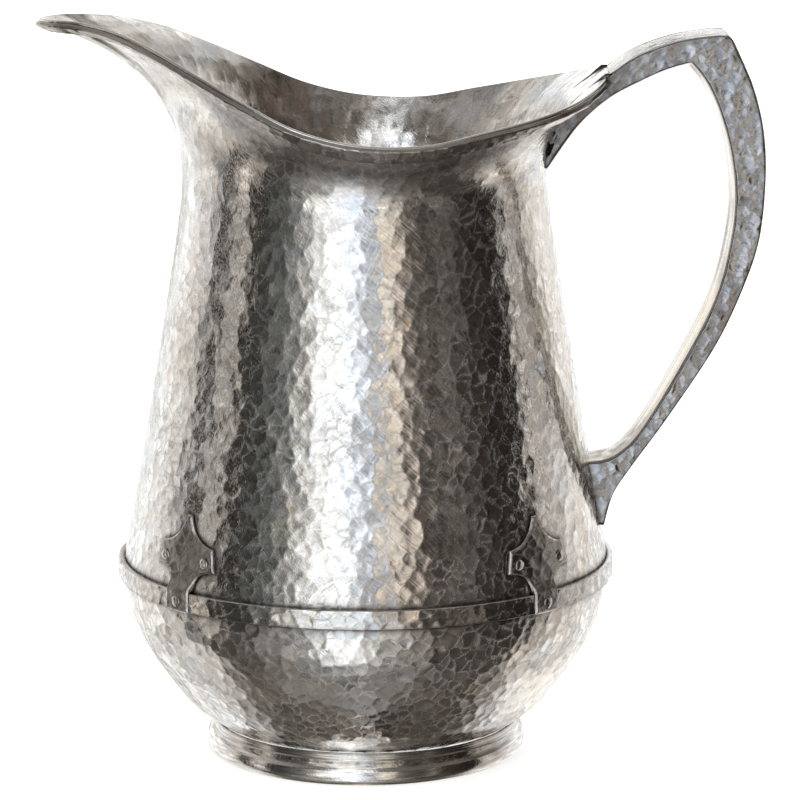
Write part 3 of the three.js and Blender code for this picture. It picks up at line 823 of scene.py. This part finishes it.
def build_foot():
    outside = smooth_line(FOOT_PROFILE[:-1], 0.35)
    inside = evenly([FOOT_PROFILE[-2], FOOT_PROFILE[-1]], 1.0)[1:]
    under = evenly([FOOT_PROFILE[-1], FOOT_PROFILE[0]], 0.6)[1:-1]
    line = np.concatenate([outside, inside, under])
    points = turned_surface(line, FOOT_COLUMNS)
    angle = np.arange(FOOT_COLUMNS) * 2 * math.pi / FOOT_COLUMNS
    wobble = 0.05 * np.sin(5 * angle + 0.7) + 0.04 * np.sin(11 * angle) + 0.03 * np.sin(23 * angle + 2)
    push = share_past(line[:, 1:], 0, 2) * wobble[None]
    points[..., 0] += push * np.cos(angle)
    points[..., 1] += push * np.sin(angle)
    # Painted shade and tarnish at the joint with the bowl and in the groove round the foot.
    joint = dark_beside(np.hypot(line[:, 0] - 49.2, line[:, 1] - 9.8), 0.5, 0.9)
    hollow = 0.35 * np.exp(-((line[:, 1] - 7.9) / 0.6) ** 2) * (line[:, 0] > 48)
    shade_and_tarnish = np.maximum(joint, hollow)[:, None].repeat(FOOT_COLUMNS, 1)
    make_piece("foot_ring", points, "foot_silver", plain_marks(shade_and_tarnish), close_rows=True)


def build_band():
    base = seam_radius + 0.05
    width = BODY_GAP - 0.05 + BAND_THICKNESS + 0.1
    section = rounded_box(width, BAND_TOP - BAND_BOTTOM, 0.35, 0.42)
    line = np.stack([base + section[:, 0], BAND_BOTTOM + section[:, 1]], axis=1)
    inner_side = 1 - np.clip(section[:, 0] / width, 0, 1)
    line[:, 0] -= inner_side * (seam_radius - neck_radius(np.maximum(line[:, 1], seam_z)))
    points = turned_surface(line, BAND_COLUMNS)
    turns = turn_shares(len(line), BAND_COLUMNS)
    around = np.full(turns.shape, 2 * math.pi * 79)
    relief, blow, ridge = hammer(turns, line[:, 1:].repeat(BAND_COLUMNS, 1), around, BAND_BLOWS, 41)
    face = (section[:, 0] > width - 0.36).astype(float)[:, None]
    out = points.copy()
    out[..., 2] = 0
    points = points + unit(out) * (relief * face)[..., None]
    # Painted shade and tarnish along the band's lower edge, and painted shade on its inner face against
    # the body.
    dark = dark_beside(section[:, 1], 0.35, 0.85) + 0.8 * (inner_side > 0.7)
    marks = (np.where(face > 0, blow, 0.5), ridge * face, dark[:, None].repeat(BAND_COLUMNS, 1))
    make_piece("strap_band", points, "strap_silver", marks, close_rows=True)


# ---- Strap mounts and rivets ----


def strap_outline():
    """Half width of a strap mount against height, from its foot to its tip."""

    def bend(p0, p1, p2):
        t = np.linspace(0, 1, 40)[:, None]
        p0, p1, p2 = (np.array(p, float) for p in (p0, p1, p2))
        return (1 - t) ** 2 * p0 + 2 * t * (1 - t) * p1 + t**2 * p2

    shoulder_x, shoulder_z = STRAP_SHOULDER_TOP
    elbow_x, elbow_z = STRAP_SHOULDER_BOTTOM
    elbow_start = (elbow_x - 1.5, elbow_z - 0.3)
    waist_top = (STRAP_WAIST_HALF, BAND_TOP)
    parts = [
        np.array([(STRAP_WAIST_HALF, BAND_BOTTOM - 0.15), waist_top]),
        bend(waist_top, (STRAP_WAIST_HALF, elbow_z - 0.6), elbow_start),
        np.array([elbow_start, (elbow_x, elbow_z), (shoulder_x, shoulder_z)]),
        bend((shoulder_x, shoulder_z), (STRAP_TIP[0] + 2.4, shoulder_z + 1), STRAP_TIP),
    ]
    return evenly(np.concatenate(parts), 0.33)


def strap_back(z):
    """Radius of a strap's back at a height: over the band first, and then on the neck."""
    over_band = seam_radius + BODY_GAP + BAND_THICKNESS + 0.22
    share = share_past(z, BAND_TOP + 0.1, 0.5)
    return between(over_band, neck_radius(z) + STRAP_LIFT, share)


def strap_front(z):
    over_band = float(strap_back(np.array(BAND_BOTTOM))) + STRAP_OVER_BAND
    share = share_past(z, BAND_TOP - 0.3, 4.2)
    share = share * share * (3 - 2 * share)
    return between(over_band, neck_radius(z) + STRAP_LIFT + STRAP_THICKNESS, share)


def distance_to_line(points, line):
    """How far points in a plane are from a polyline."""
    start, step = line[:-1], np.diff(line, axis=0)
    length = np.maximum(np.sum(step**2, axis=1), 1e-12)
    to = points[..., None, :] - start
    share = np.clip(np.sum(to * step, axis=-1) / length, 0, 1)
    gap = to - share[..., None] * step
    return np.sqrt(np.min(np.sum(gap**2, axis=-1), axis=-1))


def about_axis(points, azimuth):
    """Turns points built along +Y, with X across, to an azimuth about the body's axis."""
    a = math.radians(azimuth - 90)
    turned = points.copy()
    turned[..., 0] = points[..., 0] * math.cos(a) - points[..., 1] * math.sin(a)
    turned[..., 1] = points[..., 0] * math.sin(a) + points[..., 1] * math.cos(a)
    return turned


def build_strap_mount(number, azimuth):
    outline = strap_outline()
    steps = np.linspace(-1, 1, 67)
    across = np.sin(steps * math.pi / 2) * 0.35 + steps * 0.65
    x = outline[:, :1] * across[None]
    z = outline[:, 1:].repeat(len(across), 1)
    rim = np.concatenate([outline, outline[::-1] * (-1, 1), outline[:1]])
    inset = distance_to_line(stacked(x, z), rim)
    drop = 1 - share_past(inset, 0, STRAP_BEVEL)
    worn = 0.9 * STRAP_BEVEL * drop
    relief, blow, ridge = hammer_flat(x, z, 100, STRAP_BLOWS, 50 + number)
    y_front = np.sqrt((strap_front(z) - worn + relief * (1 - drop)) ** 2 - x**2)
    y_back = np.sqrt(strap_back(z) ** 2 - x**2)
    front = stacked(x, y_front, z)
    rear = stacked(x, y_back, z)[:, ::-6]
    # Painted shade and tarnish: the strap's face is darkened all over, more just above the band and
    # round each rivet, and less towards its bevelled edge.
    dark = 0.52 + 0.15 * np.exp(-(((z - BAND_TOP - 1.5) / 2.5) ** 2))
    for rivet_x, rivet_z in STRAP_RIVETS:
        gap = np.abs(np.hypot(x - rivet_x, z - rivet_z) - RIVET_RADIUS)
        dark = np.maximum(dark, dark_beside(gap, 0.35, 0.95))
    dark = dark * (1 - drop) ** 0.5
    points = about_axis(np.concatenate([front, rear], axis=1), azimuth)
    # Its rear, against the neck, takes an even painted shade and tarnish.
    marks = with_rear((blow, ridge, dark), rear, 0.8)
    make_piece(f"strap_mount_{number}", points, "strap_silver", marks)


def build_rivet(name, across, z, azimuth, seed):
    """A low domed head, flattened by the hammer, with its edge let into the strap."""
    rng = np.random.default_rng(seed)
    base = math.sqrt(float(strap_front(np.array(z))) ** 2 - across**2)
    angle = np.linspace(0, math.pi / 2, 12)
    line = [(RIVET_RADIUS * math.cos(a), RIVET_HEIGHT * math.sin(a) ** 0.8) for a in angle]
    line = [(RIVET_RADIUS * 0.92, -RIVET_LET_IN)] + line[:-1] + [(0.04, RIVET_HEIGHT)]
    turn = np.arange(RIVET_COLUMNS) * 2 * math.pi / RIVET_COLUMNS
    flat = 1 + 0.05 * np.sin(3 * turn + rng.uniform(0, 6)) + 0.03 * np.sin(5 * turn + rng.uniform(0, 6))
    points = np.zeros((len(line), RIVET_COLUMNS, 3))
    for row, (radius, rise) in enumerate(line):
        points[row, :, 0] = across + radius * flat * np.cos(turn)
        points[row, :, 2] = z + radius * flat * np.sin(turn)
        lean = rng.normal(0, 0.02) if rise > 0.3 else 0
        points[row, :, 1] = base + rise + lean * np.cos(turn)
    rises = np.array([rise for _, rise in line])
    # Painted shade and tarnish round the foot of each head, where it meets the strap.
    shade_and_tarnish = dark_beside(rises, 0.12, 0.9)[:, None].repeat(RIVET_COLUMNS, 1)
    make_piece(name, about_axis(points, azimuth), "rivet_silver", plain_marks(shade_and_tarnish))


# ---- Handle ----


def half_width(z):
    """Half of the handle's width at a height."""
    low_z, low_half = HANDLE_LOW
    high_z, high_half = HANDLE_HIGH
    return low_half + (z - low_z) / (high_z - low_z) * (high_half - low_half)


def keep_outside_wall(points):
    """Brings buried points of the lower joint out to just under the wall's outside."""
    radius = np.hypot(points[..., 0], points[..., 1])
    least = neck_radius(points[..., 2]) - HANDLE_BURY
    push = np.where(points[..., 2] < NECK_Z, np.maximum(least / np.maximum(radius, 1e-6), 1), 1)
    points[..., :2] *= push[..., None]
    return points


def wall_out(z, y):
    """How far out the wall's outside is beside the handle, at a height and a place across."""
    x = np.interp(z, outer[:, 0, 2], outer[:, 0, 0])
    return x - (WALL_ROUND - np.sqrt(WALL_ROUND**2 - y**2))


def wall_end(z, y):
    """Where a side plate's end lies: at its heights, a little under the wall's outside."""
    return stacked(wall_out(z, y) - HANDLE_BURY, z)


outer_line_top = smooth_line(HANDLE_OUTER_TOP, 0.5)
outer_line_back = smooth_line(HANDLE_OUTER_BACK, 0.5)
inner_line_top = smooth_line(HANDLE_INNER_TOP, 0.5)
inner_line_back = smooth_line(HANDLE_INNER_BACK, 0.5)


def resample(line, count):
    """The same line in the plane with so many points."""
    return sampled(line, np.arange(len(line)), np.linspace(0, len(line) - 1, count))


def build_handle_side(name, side, seed):
    """A side plate, hammered outside: side is -1 at the front and 1 at the back."""
    first = np.concatenate([resample(outer_line_top, 110), resample(outer_line_back, 430)])
    second = np.concatenate([resample(inner_line_top, 110), resample(inner_line_back, 430)])
    body = between(first[:, None], second[:, None], np.linspace(0, 1, 30)[:, None])

    start = wall_end(body[0, :, 1], HANDLE_TOP_JOINT_Y)
    lead_in = between(start, body[:1], np.linspace(0, 1, 24)[:-1, None, None])
    end = wall_end(body[-1, :, 1], HANDLE_FOOT_JOINT_Y)
    lead_out = between(body[-1:], end, np.linspace(0, 1, 6)[1:, None, None])
    flat = np.concatenate([lead_in, body, lead_out])

    edges = (evenly(first, 2.0), evenly(second, 2.0))
    inset = np.minimum(*(distance_to_line(flat, edge) for edge in edges))
    drop = 1 - share_past(inset, 0, HANDLE_BEVEL)
    worn = HANDLE_BEVEL * (1 - np.sqrt(1 - drop**2))
    relief, blow, ridge = hammer_flat(flat[..., 0], flat[..., 1], 300, SIDE_BLOWS, seed)
    half = half_width(flat[..., 1])
    y_front = side * (half - worn + 1.15 * relief * (1 - drop))
    front = stacked(flat[..., 0], y_front, flat[..., 1])
    rear = stacked(flat[..., 0], side * (half - HANDLE_PLATE), flat[..., 1])[:, ::-5]
    points = keep_outside_wall(np.concatenate([front, rear], axis=1))
    # Painted shade and tarnish along the plate's bevelled edges, where it meets the wall, and near the
    # neck at the handle's top; its rear takes an even painted shade and tarnish.
    blows, ridges, edge_shade_and_tarnish = with_rear((blow, ridge, dark_beside(inset, 0.9, 0.62)), rear, 0.5)
    x, y, z = points[..., 0], points[..., 1], points[..., 2]
    buried = dark_beside(np.abs(x - wall_out(z, y)), 0.9, 0.95)
    shaded = share_past(-x, -86, 10) * share_past(z, 180, 8)
    plate_shade_and_tarnish = np.maximum(np.maximum(buried, edge_shade_and_tarnish), 0.72 * shaded)
    make_piece(name, points, "handle_silver", (blows, ridges, plate_shade_and_tarnish))


def build_handle_strip(name, line, slot, crown, inwards, hammered, seed):
    """A strip between the side plates; crown bulges its free face away from the plate."""
    normals = side_normals(line)
    across = np.linspace(-1, 1, 33)
    half = half_width(line[:, 1:]) - HANDLE_PLATE - 0.03
    y = half * across[None]
    rise = crown * (1 - across**2)
    edge = (1 - np.abs(across)) * half.mean()
    worn = 0.3 * (1 - share_past(edge, 0, 0.4)) ** 2
    free = line[:, None] + normals[:, None] * (inwards * (rise - worn))[None, :, None]
    ripple = 0.03 * np.sin(line[:, :1] * 0.31 + seed) + 0.025 * np.sin(line[:, 1:] * 0.23 + 2 * seed)
    free = free + normals[:, None] * (inwards * ripple)[..., None]
    path = walked(line)[:, None].repeat(len(across), 1)
    relief, blow, ridge = hammer_flat(y, path, 300, STRIP_BLOWS, int(seed * 10))
    struck = hammered * share_past(-np.abs(across), -1, 0.12)
    free = free + normals[:, None] * (inwards * relief * struck)[..., None]
    backing = line[:, None] - normals[:, None] * (inwards * HANDLE_PLATE)
    backing = np.broadcast_to(backing, free.shape)
    face = stacked(free[..., 0], y, free[..., 1])
    rear = stacked(backing[..., 0], y, backing[..., 1])[:, ::-8]
    points = keep_outside_wall(np.concatenate([face, rear], axis=1))
    # Painted shade and tarnish along the strip's edges against the side plates; its rear takes an even
    # painted shade and tarnish.
    side_edge = dark_beside(edge, 0.35, 0.8)[None].repeat(len(line), 0)
    marks = (0.5 + (blow - 0.5) * struck, ridge * struck, side_edge)
    make_piece(name, points, slot, with_rear(marks, rear, 0.5))


def extended(line, start_by, end_by):
    """The line with a straight lead added at each end."""
    start = line[0] - unit(line[1] - line[0]) * start_by
    end = line[-1] + unit(line[-1] - line[-2]) * end_by
    return np.concatenate([start[None], line, end[None]])


def build_handle():
    build_handle_side("handle_side_front", -1, 61)
    build_handle_side("handle_side_back", 1, 62)
    outer_line = np.concatenate([outer_line_top, outer_line_back])
    inner_line = np.concatenate([inner_line_top, inner_line_back[1:]])
    outer_line = extended(outer_line, 0.9, 0.6)
    inner_line = extended(inner_line, 0.4, 1.2)
    build_handle_strip("handle_outer_plate", outer_line, "handle_silver", *OUTER_STRIP)
    build_handle_strip("handle_inner_plate", inner_line, "handle_polished", *INNER_STRIP)


build_upper_body()
build_lip_wire()
build_lower_bowl()
build_foot()
build_band()
for index, bearing in enumerate(STRAP_AZIMUTHS, 1):
    build_strap_mount(index, bearing)
    for place, (offset, level) in enumerate(STRAP_RIVETS, 1):
        build_rivet(f"rivet_{index}_{place}", offset, level, bearing, 70 + 3 * index + place)
build_handle()

# ---- Floor, light and camera ----


FLOOR_HALF = 8.0  # in metres
FLOOR_DROP = 0.0002
FLOOR_LOOKS = {
    "Base Color": (0.92, 0.92, 0.915),
    "Roughness": 0.9,
    "Specular IOR Level": 0.1,
    "Emission Color": (1.0, 1.0, 1.0),
    "Emission Strength": 0.55,
}


def build_floor():
    """A plain pale floor that the silver does not mirror."""
    mesh = bpy.data.meshes.new("floor")
    half = FLOOR_HALF
    corners = [(-half, -half, 0), (half, -half, 0), (half, half, 0), (-half, half, 0)]
    mesh.from_pydata(corners, [], [(0, 1, 2, 3)])
    floor = add_object("floor", mesh)
    floor.location.z = -FLOOR_DROP
    floor.visible_glossy = False
    material = bpy.data.materials.new("floor")
    tree = Tree(material)
    for label, value in FLOOR_LOOKS.items():
        tree.feed(tree.nodes["Principled BSDF"].inputs[label], value)
    mesh.materials.append(material)


# The light around the pitcher, as degrees from the front towards the handle, and a colour. At
# 180 degrees each ring comes back to its first colour.
LIGHT_RING = [
    (-180, 0.98, 0.98, 0.98), (-140, 0.96, 0.955, 0.945), (-116, 0.76, 0.74, 0.72),
    (-104, 0.5, 0.48, 0.46), (-98, 0.04, 0.034, 0.03), (-92, 0.06, 0.052, 0.046),
    (-87, 0.62, 0.58, 0.54), (-80, 0.5, 0.47, 0.43), (-73, 0.045, 0.041, 0.038),
    (-60, 0.045, 0.046, 0.044), (-47, 0.11, 0.115, 0.11), (-38, 0.28, 0.285, 0.28),
    (-31, 0.85, 0.84, 0.8), (-24, 1.1, 1.15, 1.2), (-12, 1.12, 1.18, 1.27),
    (-5, 0.95, 1.02, 1.12), (1, 0.55, 0.6, 0.67), (7, 0.38, 0.4, 0.43),
    (11, 0.8, 0.75, 0.68), (19, 0.72, 0.66, 0.59), (25, 0.13, 0.112, 0.1),
    (38, 0.06, 0.052, 0.046), (48, 0.17, 0.152, 0.136), (58, 0.04, 0.035, 0.031),
    (82, 0.016, 0.014, 0.013), (90, 0.03, 0.026, 0.023), (96, 0.62, 0.58, 0.54),
    (106, 0.34, 0.31, 0.29), (118, 0.64, 0.61, 0.58), (134, 0.9, 0.88, 0.855),
    (150, 0.98, 0.98, 0.975),
]
# The same from about 20 degrees up, to where the zenith's colour takes over.
UPPER_RING = [
    (-180, 0.8, 0.8, 0.79), (-120, 0.46, 0.44, 0.42), (-85, 0.32, 0.3, 0.285),
    (-50, 0.17, 0.155, 0.145), (-32, 0.16, 0.15, 0.14), (-24, 1.1, 1.14, 1.2),
    (2, 1.05, 1.08, 1.14), (10, 0.2, 0.19, 0.18), (40, 0.1, 0.09, 0.08),
    (72, 0.16, 0.13, 0.115), (98, 0.09, 0.075, 0.065), (118, 0.2, 0.18, 0.16),
    (140, 0.6, 0.58, 0.55),
]
# And from about 28 degrees down.
LOWER_RING = [
    (-180, 0.8, 0.8, 0.79), (-130, 0.86, 0.845, 0.825), (-105, 0.7, 0.67, 0.64),
    (-90, 0.1, 0.09, 0.08), (-66, 0.09, 0.082, 0.075), (-50, 0.22, 0.21, 0.205),
    (-32, 0.34, 0.335, 0.33), (-24, 0.85, 0.85, 0.84), (-10, 1.15, 1.17, 1.2),
    (2, 0.55, 0.55, 0.55), (14, 0.34, 0.33, 0.31), (30, 0.22, 0.205, 0.19),
    (46, 0.07, 0.062, 0.056), (88, 0.04, 0.036, 0.032), (100, 0.55, 0.51, 0.47),
    (130, 0.86, 0.845, 0.825),
]
# And from about 54 degrees down, where it comes from under and behind the pitcher.
DEEP_RING = [
    (-180, 0.8, 0.78, 0.74), (-168, 0.6, 0.57, 0.53), (-152, 0.09, 0.078, 0.068),
    (-110, 0.11, 0.098, 0.088), (-60, 0.18, 0.172, 0.162), (-12, 0.26, 0.255, 0.25),
    (14, 0.22, 0.21, 0.2), (44, 0.12, 0.108, 0.098), (100, 0.07, 0.061, 0.053),
    (152, 0.07, 0.06, 0.052), (168, 0.36, 0.33, 0.3),
]
ZENITH = (0.30, 0.285, 0.27)
# Sines of the heights between which each ring gives way to the one above it.
DEEP_TO_LOWER = (-0.90, -0.70)
LOWER_TO_LEVEL = (-0.58, -0.36)
LEVEL_TO_UPPER = (0.24, 0.42)
UPPER_TO_ZENITH = (0.72, 0.90)
WARM_HUE = (1.04, 0.99, 0.93)
COOL_HUE = (0.96, 1.0, 1.035)


def build_world():
    """Plain white for the camera and for soft light, and the rings for what the silver mirrors."""
    world = bpy.data.worlds.new("studio")
    bpy.context.scene.world = world
    tree = Tree(world)
    tree.nodes.clear()
    direction = tree.node("TexCoord").outputs["Generated"]
    split = tree.node("SeparateXYZ", {0: direction}).outputs
    bearing = tree.maths(split["X"], tree.maths(split["Y"], -1.0, "MULTIPLY"), "ARCTAN2")
    share = tree.maths(tree.maths(bearing, 2 * math.pi, "DIVIDE"), 0.5)

    def ring(colours):
        whole = [*colours, (180, *colours[0][1:])]
        return tree.tones(share, [(degrees / 360 + 0.5, c) for degrees, *c in whole], "EASE")

    light = ring(DEEP_RING)
    for (low, high), above in (
        (DEEP_TO_LOWER, ring(LOWER_RING)), (LOWER_TO_LEVEL, ring(LIGHT_RING)),
        (LEVEL_TO_UPPER, ring(UPPER_RING)), (UPPER_TO_ZENITH, ZENITH),
    ):
        light = tree.mix(tree.scaled(split["Z"], low, high, 0, 1, "SMOOTHSTEP"), light, above)

    # Small things about the room break the broad lights and darks into cells.
    def speckle(scale, low, high, new_low, new_high, seed):
        node = tree.noise(direction, scale, 3, 0.6, noise_dimensions="4D")
        node.inputs["W"].default_value = seed
        return tree.scaled(node.outputs["Fac"], low, high, new_low, new_high)

    def times(first, second):
        return tree.node("VectorMath", {0: first, 1: second}, operation="MULTIPLY").outputs["Vector"]

    uneven = speckle(9, 0.34, 0.66, 0.38, 1.7, 1.7)
    hue = tree.mix(speckle(4, 0.38, 0.62, 0, 1, 5.2), WARM_HUE, COOL_HUE)
    around = tree.node("Background", {"Color": times(times(light, hue), uneven)}).outputs[0]
    plain = tree.node("Background", {"Color": (1, 1, 1)}).outputs[0]
    seen = tree.node("LightPath").outputs
    evenly_lit = tree.maths(seen["Is Camera Ray"], seen["Is Diffuse Ray"], "MAXIMUM")
    choose = tree.node("MixShader", {0: evenly_lit, 1: around, 2: plain})
    tree.links.new(choose.outputs[0], tree.nodes.new("ShaderNodeOutputWorld").inputs["Surface"])


def build_lights():
    light = bpy.data.lights.new("tent_light", "SUN")
    light.energy = 0.9
    light.angle = math.radians(50)
    holder = add_object("tent_light", light)
    holder.rotation_euler = (math.radians(-14), math.radians(8), 0)
    holder.visible_glossy = False


CAMERA_ACROSS = 0.01104
CAMERA_AWAY = 1.216
CAMERA_HEIGHT = 0.353
CAMERA_PITCH = 11.164
CAMERA_LENS = 174.3


def build_camera():
    camera = bpy.data.cameras.new("camera")
    camera.lens = CAMERA_LENS
    camera.sensor_width = 36
    camera.clip_end = 50
    holder = add_object("camera", camera)
    holder.location = (AXIS_X + CAMERA_ACROSS, -CAMERA_AWAY, CAMERA_HEIGHT)
    holder.rotation_euler = (math.radians(90 - CAMERA_PITCH), 0, 0)
    bpy.context.scene.camera = holder


build_floor()
build_world()
build_lights()
build_camera()
bpy.context.scene.view_settings.view_transform = "Standard"
